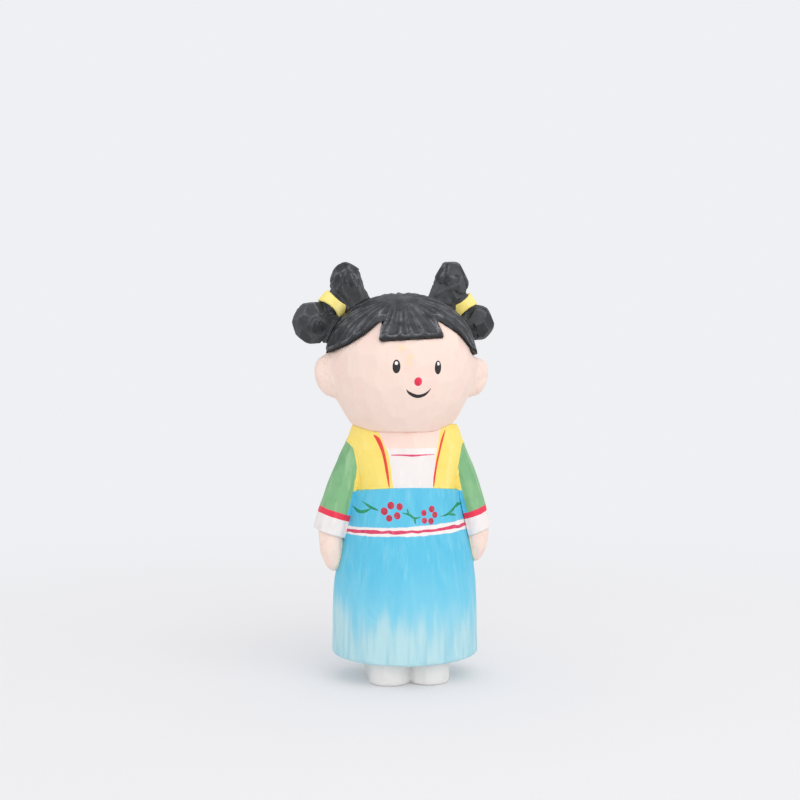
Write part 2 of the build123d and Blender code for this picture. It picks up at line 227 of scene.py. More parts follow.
def distance_to(points, node, reach):
    """How far each point is from a CAD node's surface, up to reach."""
    low, high = box_mm(node)
    near = np.all((points > low - reach) & (points < high + reach), axis=1)
    found = np.full(len(points), float(reach))
    tree = cad_tree(node)
    for i in np.flatnonzero(near):
        distance = tree.find_nearest(points[i], reach)[3]
        if distance is not None:
            found[i] = distance
    return found


VISIBLE = [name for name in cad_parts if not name.endswith(("dowel", "dowels"))]


def joint_gap(shell, node, reach=0.8, apart_from=()):
    """How far each point is from the other pieces, up to reach."""
    nearest = np.full(len(shell.points), float(reach))
    for other in VISIBLE:
        if other != node and other not in apart_from:
            nearest = np.minimum(nearest, distance_to(shell.points, other, reach))
    return nearest


def clear_of_joints(shell, node, start=0.1, end=0.8, apart_from=()):
    """0 where a piece meets another, rising to 1 a little way off."""
    return step(start, end, joint_gap(shell, node, end, apart_from))


def fill_seams(shell, node):
    """Paint has filled the glue lines: a piece swells by their width where it meets another."""
    swell = GLUE_LINE * step(0.7, 0.2, joint_gap(shell, node, 0.7))
    shell.points = shell.points + shell.normals() * swell[:, None]


# ---- knife work -----------------------------------------------------------------------------

MOST_TRIED = 20000        # points that are tried as the middle of a cut


def scattered(places, spacing, rng):
    """The numbers of points picked at random, no two nearer than spacing."""
    picked = []
    for i in rng.permutation(len(places))[:MOST_TRIED]:
        if not picked or np.min(np.sum((places[picked] - places[i]) ** 2, axis=1)) > spacing ** 2:
            picked.append(i)
    return picked


CUT_REACH = 0.35          # a cut only touches skin that faces its own way by this cosine
CUT_WOBBLE = 0.025        # how unevenly the cuts are tilted
ROWS_AT_ONCE = 4096       # points worked out together
FAR_ABOVE = 9.0           # the level of a cut that doesn't touch a point


def knife_facets(shell, spacing, depth, weight, seed, stretch=(1, 1, 1), unevenness=0.35):
    """Flat cuts all over a shell: each point drops to the lowest of the cuts near it."""
    rng = np.random.default_rng(seed)
    normals = shell.normals()
    place = shell.points / np.array(stretch)
    centres = scattered(np.hstack([place, 0.8 * spacing * normals]), spacing, rng)
    cut_normals = normals[centres] + rng.normal(0.0, CUT_WOBBLE, (len(centres), 3))
    cut_normals /= np.linalg.norm(cut_normals, axis=1, keepdims=True)
    cut_depths = depth * (1.0 + unevenness * rng.uniform(-1, 1, len(centres)))
    levels = np.sum(shell.points[centres] * cut_normals, axis=1) - cut_depths
    tones = rng.uniform(-1, 1, len(centres))
    deepest = 1.4 * depth
    drop = np.zeros(len(place))
    ridge = np.zeros(len(place))
    tone = np.zeros(len(place))
    for start in range(0, len(place), ROWS_AT_ONCE):
        rows = slice(start, start + ROWS_AT_ONCE)
        facing = normals[rows] @ cut_normals.T
        level = (levels - shell.points[rows] @ cut_normals.T) / np.maximum(facing, CUT_REACH)
        too_deep = level < -deepest
        level = np.where(too_deep, -2 * deepest - level, level)
        apart = (
            np.sum(place[rows] ** 2, axis=1)[:, None]
            + np.sum(place[centres] ** 2, axis=1)
            - 2 * place[rows] @ place[centres].T
        )
        level = np.where((facing > CUT_REACH) & (apart < (2 * spacing) ** 2), level, FAR_ABOVE)
        drop[rows] = np.minimum(np.min(level, axis=1), 0.25 * depth)
        lowest = np.partition(np.where(too_deep, FAR_ABOVE, level), 1, axis=1)[:, :2]
        ridge[rows] = np.exp(-(lowest[:, 1] - lowest[:, 0]) / (0.25 * depth))
        tone[rows] = tones[np.argmin(level, axis=1)]
    shell.points = shell.points + normals * (drop * weight)[:, None]
    shell.values["ridge"] = ridge * weight
    shell.values["tone"] = shell.averaged(shell.averaged(tone)) * weight


# ---- materials ----------------------------------------------------------------------------------

class Paint:
    """A material under construction: each method adds a node and returns its output."""

    def __init__(self, name, roughness=0.62, specular=0.35):
        self.material = bpy.data.materials.new(name)
        self.material.use_nodes = True
        self.tree = self.material.node_tree
        self.bsdf = self.tree.nodes["Principled BSDF"]
        self.bsdf.inputs["Specular IOR Level"].default_value = specular
        self.bsdf.inputs["Roughness"].default_value = roughness
        coordinates = self.tree.nodes.new("ShaderNodeTexCoord").outputs["Object"]
        scale = self.tree.nodes.new("ShaderNodeVectorMath")
        scale.operation = "SCALE"
        scale.inputs["Scale"].default_value = 1 / MM
        self.tree.links.new(coordinates, scale.inputs[0])
        self.millimetres = scale.outputs[0]

    def put(self, socket, value):
        if isinstance(value, bpy.types.NodeSocket):
            self.tree.links.new(value, socket)
        elif isinstance(value, tuple):
            socket.default_value = linear(value)
        else:
            socket.default_value = value

    def math(self, operation, *values):
        node = self.tree.nodes.new("ShaderNodeMath")
        node.operation = operation
        for socket, value in zip(node.inputs, values):
            self.put(socket, value)
        return node.outputs[0]

    def value(self, name):
        node = self.tree.nodes.new("ShaderNodeAttribute")
        node.attribute_name = name
        return node.outputs["Fac"]

    def axis(self, letter):
        node = self.tree.nodes.new("ShaderNodeSeparateXYZ")
        self.tree.links.new(self.millimetres, node.inputs[0])
        return node.outputs[letter]

    def noise(self, size, detail=2.0, stretch=(1, 1, 1), roughness=0.55, offset=0.0):
        """Noise whose lumps are about size millimetres, times stretch along each axis."""
        mapping = self.tree.nodes.new("ShaderNodeMapping")
        mapping.inputs["Location"].default_value = (offset, offset, offset)
        mapping.inputs["Scale"].default_value = [1.0 / (size * s) for s in stretch]
        self.tree.links.new(self.millimetres, mapping.inputs["Vector"])
        node = self.tree.nodes.new("ShaderNodeTexNoise")
        node.inputs["Scale"].default_value = 1.0
        node.inputs["Detail"].default_value = detail
        node.inputs["Roughness"].default_value = roughness
        self.tree.links.new(mapping.outputs[0], node.inputs["Vector"])
        return node.outputs["Fac"]

    def between(self, value, low, high):
        """0 below low, 1 above high, smooth between; high may be under low."""
        node = self.tree.nodes.new("ShaderNodeMapRange")
        node.interpolation_type = "SMOOTHSTEP"
        self.put(node.inputs["Value"], value)
        self.put(node.inputs["From Min"], low)
        self.put(node.inputs["From Max"], high)
        return node.outputs[0]

    def mix(self, factor, one, other):
        """The colour one where factor is 0 and other where it is 1."""
        node = self.tree.nodes.new("ShaderNodeMix")
        node.data_type = "RGBA"
        colour_a, colour_b = [socket for socket in node.inputs if socket.type == "RGBA"]
        self.put(node.inputs[0], factor)
        self.put(colour_a, one)
        self.put(colour_b, other)
        return next(socket for socket in node.outputs if socket.type == "RGBA")

    def finish(self, colour, height, bump=0.25, depth=0.06, roughness=None):
        """Joins up the colour, the bump and the roughness."""
        self.put(self.bsdf.inputs["Base Color"], colour)
        node = self.tree.nodes.new("ShaderNodeBump")
        node.inputs["Strength"].default_value = bump
        node.inputs["Distance"].default_value = depth * MM
        self.put(node.inputs["Height"], height)
        self.tree.links.new(node.outputs[0], self.bsdf.inputs["Normal"])
        if roughness is not None:
            self.put(self.bsdf.inputs["Roughness"], roughness)
        return self.material


def brushed(paint, base, light, dark, streaks, lumps, amount=1.0, facets=0.12):
    """Two tones of hand-mixed paint over a base, in streaks and patches and by knife cut."""
    tone = paint.math("MULTIPLY", paint.value("tone"), facets)
    light_patch = paint.between(paint.math("ADD", streaks, tone), 0.46, 0.78)
    dark_patch = paint.between(paint.math("ADD", lumps, tone), 0.5, 0.2)
    colour = paint.mix(paint.math("MULTIPLY", light_patch, 0.8 * amount), base, light)
    return paint.mix(paint.math("MULTIPLY", dark_patch, 0.8 * amount), colour, dark)


def matt(paint, streaks):
    """The roughness of acrylic that is a little shinier in some strokes than others."""
    return paint.math("MULTIPLY_ADD", streaks, 0.22, 0.5)


def skin_paint():
    paint = Paint("skin_paint")
    strokes = paint.noise(2.2, 3.0, (1, 1, 2.2))
    patches = paint.noise(7.0, 2.0, offset=4.0)
    colour = brushed(paint, SKIN, SKIN_CREAM, SKIN_ROSE, strokes, patches, 0.6)
    worn = paint.math("MULTIPLY", paint.value("ridge"), paint.noise(3.0, 2.0, offset=9.0))
    colour = paint.mix(paint.math("MULTIPLY", worn, 0.35), colour, WHITE_WARM)
    colour = paint.mix(paint.math("MULTIPLY", paint.value("stain"), 0.6), colour, STAIN)
    grain = paint.noise(0.7, 4.0, (1, 1, 5))
    return paint.finish(colour, grain, 0.2, 0.05, matt(paint, strokes))


def hair_paint():
    paint = Paint("hair_paint", specular=0.45)
    fine = paint.noise(0.8, 4.0, offset=2.0)
    patches = paint.noise(3.0, 3.0, offset=7.0)
    lifted = paint.math("MULTIPLY_ADD", paint.value("tone"), 0.12, patches)
    colour = paint.mix(paint.between(lifted, 0.35, 0.72), HAIR, HAIR_WORN)
    brushed_lines = paint.math("MULTIPLY", paint.value("strand"), paint.between(patches, 0.35, 0.65))
    colour = paint.mix(paint.math("MULTIPLY", brushed_lines, 0.34), colour, HAIR_RUBBED)
    rub = paint.math("MULTIPLY", paint.value("ridge"), paint.between(fine, 0.34, 0.56))
    rub = paint.math("MULTIPLY", rub, paint.between(patches, 0.3, 0.55))
    colour = paint.mix(paint.math("MULTIPLY", rub, 0.85), colour, HAIR_RUBBED)
    # Near-black at the edge: the doll's painted line along the hairline, plus painted shade on the
    # hair's walls and underside.
    colour = paint.mix(paint.value("edge"), colour, HAIR_EDGE_LINE_AND_SHADE)
    roughness = paint.math("MULTIPLY_ADD", fine, 0.3, 0.4)
    return paint.finish(colour, fine, 0.3, 0.07, roughness)


def flat_paint(name, base, light, dark, amount=1.0):
    """One colour of brushed acrylic."""
    paint = Paint(name)
    streaks = paint.noise(1.5, 4.0, (1, 1, 3))
    patches = paint.noise(6.0, 2.0, offset=5.0)
    colour = brushed(paint, base, light, dark, streaks, patches, amount)
    grain = paint.noise(0.5, 4.0, (1, 1, 6), offset=3.0)
    return paint.finish(colour, grain, 0.22, 0.05, matt(paint, streaks))


def robe_paint():
    """Yellow robe, open in front over a white bodice and bare neck."""
    paint = Paint("robe_paint")
    streaks = paint.noise(1.6, 4.0, (1, 1, 4))
    patches = paint.noise(6.0, 2.0, offset=5.0)
    yellow = brushed(paint, YELLOW, YELLOW_PALE, YELLOW_DEEP, streaks, patches, 0.8)
    white = brushed(paint, WHITE, WHITE_BRIGHT, WHITE_SHADE, streaks, patches, 0.7)
    skin = brushed(paint, SKIN, SKIN_CREAM, SKIN_ROSE, streaks, patches, 0.5)
    wobble = paint.math("MULTIPLY_ADD", paint.noise(2.4, 2.0, offset=8.0), 0.5, -0.25)
    height = paint.math("ADD", paint.axis("Z"), wobble)
    inner = paint.mix(paint.between(height, BODICE_Z - 0.08, BODICE_Z + 0.08), white, skin)
    opening = paint.math("ADD", paint.value("opening"), wobble)
    colour = paint.mix(paint.between(opening, -0.1, 0.1), yellow, inner)
    grain = paint.noise(0.5, 4.0, (1, 1, 6), offset=3.0)
    return paint.finish(colour, grain, 0.22, 0.05, matt(paint, streaks))


def sleeve_paint():
    """Green sleeve with a red trim above a white cuff, and yellow over the shoulder."""
    paint = Paint("sleeve_paint")
    streaks = paint.noise(1.5, 4.0, (1, 1, 5))
    patches = paint.noise(5.0, 2.0, offset=5.0)
    wobble = paint.math("MULTIPLY_ADD", paint.noise(2.2, 2.0, offset=8.0), 0.6, -0.3)
    blue = brushed(paint, SKY, SKY_LIGHT, SKY_DEEP, streaks, patches, 0.8)
    green = brushed(paint, GREEN, GREEN_PALE, GREEN_DEEP, streaks, patches)
    yellow = brushed(paint, YELLOW, YELLOW_PALE, YELLOW_DEEP, streaks, patches, 0.8)
    white = brushed(paint, WHITE, WHITE_BRIGHT, CUFF_SHADE, streaks, patches)
    red = brushed(paint, RED, RED_PALE, RED_DEEP, streaks, patches)
    bodice = paint.mix(paint.between(paint.value("sash"), -0.06, 0.06), yellow, blue)
    shoulder = paint.math("ADD", paint.value("shoulder"), wobble)
    colour = paint.mix(paint.between(shoulder, -0.08, 0.08), green, bodice)
    along = paint.math("ADD", paint.value("along"), paint.math("MULTIPLY", wobble, 0.5))
    colour = paint.mix(paint.between(along, TRIM_TOP + 0.07, TRIM_TOP - 0.07), colour, red)
    colour = paint.mix(paint.between(along, TRIM_BOTTOM + 0.07, TRIM_BOTTOM - 0.07), colour, white)
    grain = paint.noise(0.5, 4.0, (1, 1, 6), offset=3.0)
    return paint.finish(colour, grain, 0.22, 0.05, matt(paint, streaks))


def skirt_paint():
    """Sky-blue sash and skirt with a white band between, dragged out to pale blue at the hem, with
    painted shade in the pleat grooves.
    """
    paint = Paint("skirt_paint")
    streaks = paint.noise(1.5, 4.0, (1, 1, 9), roughness=0.6)
    wide = paint.noise(4.6, 1.5, (1, 1, 5), offset=6.0)
    blue = brushed(paint, SKY, SKY_LIGHT, SKY_DEEP, streaks, wide, 0.8, 0.05)
    dragged = paint.math("MULTIPLY_ADD", wide, 20.0, -10.0)
    dragged = paint.math("ADD", dragged, paint.math("MULTIPLY_ADD", streaks, 5.0, -2.5))
    height = paint.math("ADD", paint.axis("Z"), dragged)
    beside = paint.between(paint.math("ABSOLUTE", paint.axis("X")), 14.0, 21.0)
    height = paint.math("SUBTRACT", height, paint.math("MULTIPLY", beside, 4.0))
    thin = paint.between(height, HEM_Z + 29.0, HEM_Z + 11.0)
    blue = paint.mix(paint.math("MULTIPLY", thin, 0.7), blue, SKY_LIGHT)
    pale = paint.mix(paint.between(paint.math("ADD", streaks, wide), 0.85, 1.2), HEM_PALE, HEM_MIXED)
    colour = paint.mix(paint.between(height, HEM_Z + 17.0, HEM_Z + 5.0), blue, pale)
    white = brushed(paint, WHITE, WHITE_BRIGHT, BAND_SHADE, streaks, wide)
    wobble = paint.math("MULTIPLY_ADD", paint.noise(2.6, 2.0, offset=8.0), 0.7, -0.35)
    band = paint.math("ADD", paint.value("band"), wobble)
    colour = paint.mix(paint.between(band, -0.1, 0.1), colour, white)
    worn = paint.math("MULTIPLY", paint.value("ridge"), paint.noise(2.0, 3.0, offset=9.0))
    colour = paint.mix(paint.math("MULTIPLY", worn, 0.12), colour, HEM_PALE)
    # Painted shade: the carved pleat grooves are darkened towards a deeper blue.
    groove = paint.math("MULTIPLY", paint.value("groove"), 0.3)
    colour = paint.mix(groove, colour, PAINTED_GROOVE_SHADE)
    grain = paint.noise(0.45, 4.0, (1, 1, 9), offset=3.0)
    return paint.finish(colour, grain, 0.25, 0.06, matt(paint, streaks))


def wood_grain():
    """Bare basswood: faint straight grain."""
    paint = Paint("bare_wood", roughness=0.7, specular=0.25)
    grain = paint.noise(0.5, 5.0, (1, 1, 14))
    rings = paint.noise(2.5, 2.0, (1, 3, 20), offset=4.0)
    colour = paint.mix(paint.between(grain, 0.3, 0.75), BARE_WOOD, BARE_WOOD_DARK)
    colour = paint.mix(paint.between(rings, 0.55, 0.7), colour, BARE_WOOD_RING)
    return paint.finish(colour, grain, 0.3, 0.05)


# ---- where the painted edges run (millimetres) ------------------------------------------------

BODICE_Z = NECK_Z - 4.6              # the white bodice's top edge
OPENING = [                          # (height, left edge, right edge) of the robe's opening
    (SASH_Z - 1.0, -4.8, 6.3),
    (64.2, -6.1, 7.3),
    (NECK_Z + 1.0, -9.2, 9.0),
]
CLOSED_BEHIND = -5.0                 # the robe's back is this far outside its opening
ARMHOLE = [                          # (height, edge) of the robe and sash over the arm
    (45.0, 17.6), (48.0, 17.0), (52.8, 15.9), (54.7, 15.4), (58.0, 14.8), (62.0, 14.5),
    (65.0, 14.9), (66.5, 15.9), (68.2, 17.5), (71.0, 20.0),
]
BACK_ARMHOLE = 16.0                  # the same edge behind, at every height
SASH_FALL = 0.0049                   # the sash's top edge falls by this times X squared
TRIM_TOP = 6.6                       # along the arm from the cuff's open end
TRIM_BOTTOM = 4.85
BAND_TOP = (44.35, 0.05)             # height at the middle, and its rise per millimetre of X
BAND_BOTTOM = (41.75, 0.03)
STRIPE = (42.98, 0.035)
BAND_LIFT = 0.0014                   # the band and stripe rise towards the arms by this times X squared


# ---- the carved pieces ---------------------------------------------------------------------------

MATERIALS = {}            # by paint slot
SHELLS = {}               # by the node they stand in for
SHARP_ANGLE = math.radians(48)


def coat(name):
    """The material for a paint slot, made once."""
    if name not in MATERIALS:
        makers = {
            "skin_paint": skin_paint,
            "hair_paint": hair_paint,
            "robe_paint": robe_paint,
            "sleeve_paint": sleeve_paint,
            "skirt_paint": skirt_paint,
            "tie_paint": lambda: flat_paint("tie_paint", TIE, YELLOW_PALE, YELLOW),
            "shoe_paint": lambda: flat_paint("shoe_paint", SHOE, WHITE, SHOE_GREY, amount=0.5),
            "bare_wood": wood_grain,
        }
        MATERIALS[name] = makers[name]()
    return MATERIALS[name]


def add_mesh(name, points, faces, material, values=None, replaced=None):
    mesh = bpy.data.meshes.new(name)
    mesh.from_pydata((np.asarray(points) * MM).tolist(), [], [tuple(f) for f in faces])
    for key, column in (values or {}).items():
        layer = mesh.attributes.new(key, "FLOAT", "POINT")
        layer.data.foreach_set("value", np.asarray(column, np.float32))
    mesh.materials.append(material)
    mesh.shade_smooth()
    mesh.set_sharp_from_angle(angle=SHARP_ANGLE)
    piece = bpy.data.objects.new(name, mesh)
    bpy.context.scene.collection.objects.link(piece)
    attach(piece, "root")
    if replaced:
        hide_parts(replaced)
    return piece


def put_carved(node, shell, slot):
    """A carved shell takes its CAD node's place."""
    SHELLS[node] = shell
    add_mesh("carved_" + node, shell.points, shell.faces, coat(slot), shell.values, node)


EAR_BLEND = 110           # rounds of smoothing that run an ear's front into the cheek
EAR_OUT = {-1: 0.15, 1: 0.95}         # how far each ear is then drawn outwards
EAR_DROP = 0.6                        # and both downwards
STAINS = [(-4.5, 93.7, 0.9), (-2.3, 91.2, 0.8), (-2.6, 89.6, 0.6)]      # (x, z, radius)


def carve_head():
    """Broad knife cuts, ears that run into the cheeks, and pale stains on the brow."""
    shell = remeshed("head", 0.4)
    x, y, z = to_head(shell.points).T
    by_ear = step(15.0, 17.5, np.abs(x)) * step(94.5, 92.5, z)
    shell.smooth(3)
    shell.smooth(EAR_BLEND, by_ear * step(6.0, 3.0, y))
    weight = clear_of_joints(shell, "head")
    x, y, z = to_head(shell.points).T
    ear = step(19.0, 22.5, np.abs(x)) * step(94.5, 91.0, z) * weight
    pull = np.where(x > 0, EAR_OUT[1], -EAR_OUT[-1]) * ear
    shell.points = shell.points + np.stack([pull, 0 * ear, -EAR_DROP * ear], axis=1)
    knife_facets(shell, 4.6, 0.17, weight, seed=11)
    x, y, z = to_head(shell.points).T
    spots = [np.exp(-((x - a) ** 2 + (z - b) ** 2) / r ** 2) for a, b, r in STAINS]
    shell.values["stain"] = sum(spots) * (y < 0)
    put_carved("head", shell, "skin_paint")


CROWN = Vector((-3.0, -11.0, 108.0))       # where the strands meet, in the head's frame
HEAD_MIDDLE = Vector((0.0, 0.0, 88.0))
STRANDS = 26
STRAND_DEPTH = 0.55                       # the hollow of a strand
SCALLOP = 1.1                             # the strands stop this far above the hair's edge
CUSP = 1.1                                # the rim between two strands reaches this much higher
HAIR_BEVEL = 0.5                          # how far the hair's edge is rounded over
TEMPLE_THIN = 0.5                         # the hair is cut this much thinner over the right temple
FRINGE_OVERHANG = 0.85                    # how far the fringe's left edge leans out over the skin


def strands(local):
    """How far each point is from the crown, and which strand it is in, counted round the crown."""
    up = np.array((CROWN - HEAD_MIDDLE).normalized())
    ahead = np.array([0.0, -1.0, 0.0])
    ahead = ahead - up * (ahead @ up)
    ahead /= np.linalg.norm(ahead)
    side = np.cross(up, ahead)
    arm = local - np.array(HEAD_MIDDLE)
    arm /= np.linalg.norm(arm, axis=1, keepdims=True)
    away = np.arccos(np.clip(arm @ up, -1, 1))
    angle = np.arctan2(arm @ side, arm @ ahead)
    turn = (angle / (2 * math.pi) + 0.5) * STRANDS + 0.15 * np.sin(4 * away + 5 * angle)
    return away, turn + 0.13 * np.sin(turn * 2.4)


def carve_hair():
    """Gouged strands fan out from the crown and stop in scallops above the edge."""
    shell = remeshed("hair_cap", 0.32)
    shell.smooth(4)
    weight = clear_of_joints(shell, "hair_cap", 0.3, 1.6, ["head"])
    local = to_head(shell.points)
    x, y, z = local.T
    away, turn = strands(local)
    number = np.floor(turn).astype(int)
    across = 2 * (turn - number) - 1
    depths = np.random.default_rng(5).uniform(0.7, 1.2, STRANDS + 2)
    fade = step(0.1, 0.5, away)
    skin_gap = distance_to(shell.points, "head", 4.2)
    above = np.sqrt(np.maximum(skin_gap ** 2 - PROUD_HAIR ** 2, 0.0))
    outer = np.sum(shell.normals() * (shell.points - from_head(HEAD_MIDDLE)), axis=1) > 0
    rim = above - SCALLOP - CUSP * across ** 4
    drop = STRAND_DEPTH * depths[number] * (1 - across ** 2) * fade * step(-0.1, 0.4, rim)
    drop += HAIR_BEVEL * step(SCALLOP, 0.0, above)
    drop += TEMPLE_THIN * step(14.0, 19.0, x) * step(103.0, 96.0, z) * step(6.0, 2.0, y)
    shell.points = shell.points - shell.normals() * (drop * outer * weight)[:, None]
    overhang = step(-7.2, -8.8, x) * (x > -10.8) * (y < 0) * step(94.8, 95.6, z) * step(101.4, 100.0, z)
    shell.points[:, 0] -= FRINGE_OVERHANG * overhang * step(0.1, 0.8, skin_gap)
    line = np.exp(-(1 - np.abs(across)) / 0.12) * step(0.12, 0.4, away) * step(-0.4, 0.4, rim)
    outline = np.exp(-(rim / 0.22) ** 2) * step(4.0, 3.0, above)
    shell.values["ridge"] = np.maximum(0.85 * line, outline) * outer * weight
    brush = np.sin(9.4 * turn + 2.0 * np.sin(2.3 * turn)) * np.sin(5.1 * turn + 6.0 * away)
    shell.values["strand"] = step(0.35, 0.9, brush) * outer * step(0.0, 0.3, rim)
    # Darker at the hair's edge next to the skin (a painted line) and on its walls and underside (painted
    # shade); the middle of the fringe is left out.
    fringe = step(97.0, 97.6, z) * step(11.5, 10.5, np.abs(x)) * (y < 0)
    shell.values["edge"] = np.where(outer, step(0.55, 0.25, above), 1.0) * (1 - fringe)
    shell.values["tone"] = depths[number] - 1.0
    put_carved("hair_cap", shell, "hair_paint")


def carve_bun(node, seed):
    """Broad flat cuts, whose ridges are rubbed pale towards the top."""
    shell = remeshed(node, 0.26)
    weight = clear_of_joints(shell, node, 0.05, 0.7)
    shell.smooth(4)
    shell.smooth(24, weight)
    knife_facets(shell, 4.4, 0.42, weight, seed, unevenness=0.4)
    low, high = box_mm(node)
    height = (shell.points[:, 2] - low[2]) / (high[2] - low[2])
    shell.values["ridge"] *= 0.25 + 0.6 * step(0.35, 0.8, height)
    shell.values["tone"] *= 2.0
    shell.values["edge"] = np.zeros(len(shell.points))
    shell.values["strand"] = np.zeros(len(shell.points))
    put_carved(node, shell, "hair_paint")


SADDLE = 0.36            # how much wider the band is at its ends than at its front and back
SADDLE_IN = 0.3          # and how much more at the end that lies on the hair
TIE_REACH = 0.5          # how far that end reaches on over the hair
BUN_PAIR = ("upper_bun", "lower_bun")


def carve_tie(node, seed):
    """A band that two round buns press into a saddle."""
    shell = remeshed(node, 0.2)
    shell.smooth(3)
    middle = shell.points.mean(axis=0)
    upper, lower = (np.mean(box_mm(node.replace("hair_tie", bun)), axis=0) for bun in BUN_PAIR)
    along = (upper - lower) / np.linalg.norm(upper - lower)
    arm = shell.points - middle
    height = arm @ along
    flat = arm - height[:, None] * along
    ends = 1.0 - (flat[:, 1] / np.maximum(np.linalg.norm(flat, axis=1), 1e-6)) ** 2
    inward = step(0.0, 1.0, -flat[:, 0] * np.sign(middle[0]) / np.max(np.abs(flat[:, 0])))
    widened = height * (SADDLE * (ends - 0.4) + SADDLE_IN * ends * inward)
    shell.points = shell.points + widened[:, None] * along
    shell.points = shell.points + TIE_REACH * (inward / np.linalg.norm(flat, axis=1))[:, None] * flat
    knife_facets(shell, 2.6, 0.06, clear_of_joints(shell, node, 0.05, 0.3), seed)
    put_carved(node, shell, "tie_paint")


def carve_torso():
    shell = remeshed("torso", 0.25)
    weight = clear_of_joints(shell, "torso")
    shell.smooth(3, weight)
    knife_facets(shell, 4.4, 0.12, weight, 31, (1, 1, 1.7))
    fill_seams(shell, "torso")
    x, y, z = shell.points.T
    heights, lefts, rights = np.array(OPENING).T
    left = np.interp(z, heights, lefts)
    right = np.interp(z, heights, rights)
    shell.values["opening"] = np.where(y < 0, np.minimum(x - left, right - x), CLOSED_BEHIND)
    put_carved("torso", shell, "robe_paint")


def carve_sleeve(node, side, seed):
    shell = remeshed(node, 0.22)
    weight = clear_of_joints(shell, node)
    shell.smooth(3, weight)
    knife_facets(shell, 3.8, 0.12, weight, seed, (1, 1, 2.2))
    x, y, z = shell.points.T
    inner = step(CUFF_X[side], CUFF_X[side] - 2.0, side * x) * step(0.5, -2.0, y) * step(58.0, 46.0, z)
    shell.points[:, 0] += side * CUFF_TUCK[side] * inner
    out = side * x
    edge_heights, edge_places = np.array(ARMHOLE).T
    fill_seams(shell, node)
    armhole = np.where(y < 0, np.interp(z, edge_heights, edge_places), BACK_ARMHOLE)
    shell.values["shoulder"] = armhole - out
    shell.values["sash"] = SASH_Z - SASH_FALL * x ** 2 - z
    shell.values["along"] = (
        (z - CUFF_Z) * math.cos(SLEEVE_LEAN) - (out - CUFF_X[side]) * math.sin(SLEEVE_LEAN)
    )
    put_carved(node, shell, "sleeve_paint")


def carve_hand(node, seed):
    shell = remeshed(node, 0.26)
    shell.smooth(3)
    knife_facets(shell, 3.2, 0.18, clear_of_joints(shell, node), seed, (1, 1, 1.8))
    shell.values["stain"] = 0.6 * step(1.5, 0.5, distance_to(shell.points, "skirt", 1.6))
    put_carved(node, shell, "skin_paint")


PLEATS = 20
PLEAT_SHIFT = -0.14      # of a pleat, so that they fall as they were carved
PLEAT_DEPTH = 0.42
HEM_DROP = 0.9           # the hem hangs this much lower in front


def carve_skirt():
    """Long knife cuts, pleats nicked up from the hem, and the painted waistband."""
    shell = remeshed("skirt", 0.34)
    weight = clear_of_joints(shell, "skirt")
    shell.smooth(3, weight)
    knife_facets(shell, 3.6, 0.1, weight, 41, (1, 1, 5))
    x, y, z = shell.points.T
    around = (np.arctan2(x, -y) / (2 * math.pi) + 0.5) * PLEATS + PLEAT_SHIFT
    around = around + 0.12 * np.sin(around * 1.9)
    number = np.floor(around).astype(int)
    from_groove = 2 * np.abs(around - number - 0.5)
    tops = HEM_Z + np.random.default_rng(8).uniform(7.0, 18.0, PLEATS + 2)
    sideways = np.hypot(*shell.normals().T[:2])
    fade = step(0.0, 1.0, (tops[number] - z) / (tops[number] - HEM_Z)) * step(0.5, 0.9, sideways)
    groove = np.exp(-from_groove / 0.16) * fade * weight
    shell.points = shell.points - PLEAT_DEPTH * shell.normals() * groove[:, None]
    ahead = np.maximum(-y / np.hypot(x, y), 0.0)
    shell.points[:, 2] -= HEM_DROP * ahead * step(HEM_Z + 6.0, HEM_Z, z) * weight
    fill_seams(shell, "skirt")
    x, y, z = shell.points.T
    top = BAND_TOP[0] + BAND_TOP[1] * x + BAND_LIFT * x ** 2
    bottom = BAND_BOTTOM[0] + BAND_BOTTOM[1] * x + BAND_LIFT * x ** 2
    shell.values["band"] = np.minimum(top - z, z - bottom)
    # where skirt_paint puts painted shade in the pleat grooves
    shell.values["groove"] = groove ** 2
    put_carved("skirt", shell, "skirt_paint")


def carve_feet():
    shell = remeshed("feet", 0.26)
    shell.smooth(2)
    weight = clear_of_joints(shell, "feet") * step(0.0, 0.4, shell.points[:, 2])
    knife_facets(shell, 3.6, 0.12, weight, 51, (1, 1, 2))
    put_carved("feet", shell, "shoe_paint")


# ---- thin films of paint: lines and dabs ----------------------------------------------------------

FAR = 90.0                # films are cast onto a piece from this far off
FILM_SINK = 0.05          # how far a film's underside lies inside the piece


def front_ray(x, z):
    return Vector((x, -FAR, z)), Vector((0, 1, 0))


def face_ray(x, z):
    start = from_head((x, -FAR, z))
    return start, (from_head((x, 0, z)) - start).normalized()


def round_ray(angle, z):
    out = Vector((math.sin(angle), -math.cos(angle), 0))
    return out * FAR + Vector((0, 0, z)), -out


def film(tree, rows, thickness):
    """A closed film over a piece. Each row is a list of (ray, height from 0 to 1)."""
    top, bottom = [], []
    for row in rows:
        for (start, direction), height in row:
            place, normal, _, _ = tree.ray_cast(start, direction)
            top.append(place + normal * thickness * height)
            bottom.append(place - normal * FILM_SINK)
    wide, tall = len(rows[0]), len(rows)
    count = wide * tall
    faces = []
    for i in range(tall - 1):
        for j in range(wide - 1):
            a = i * wide + j
            quad = (a, a + 1, a + wide + 1, a + wide)
            faces.append(quad)
            faces.append(tuple(count + k for k in reversed(quad)))
    rim = list(range(wide))
    rim += [i * wide + wide - 1 for i in range(1, tall)]
    rim += [(tall - 1) * wide + j for j in range(wide - 2, -1, -1)]
    rim += [i * wide for i in range(tall - 2, 0, -1)]
    for a, b in zip(rim, rim[1:] + rim[:1]):
        faces.append((b, a, count + a, count + b))
    return [tuple(p) for p in top + bottom], faces


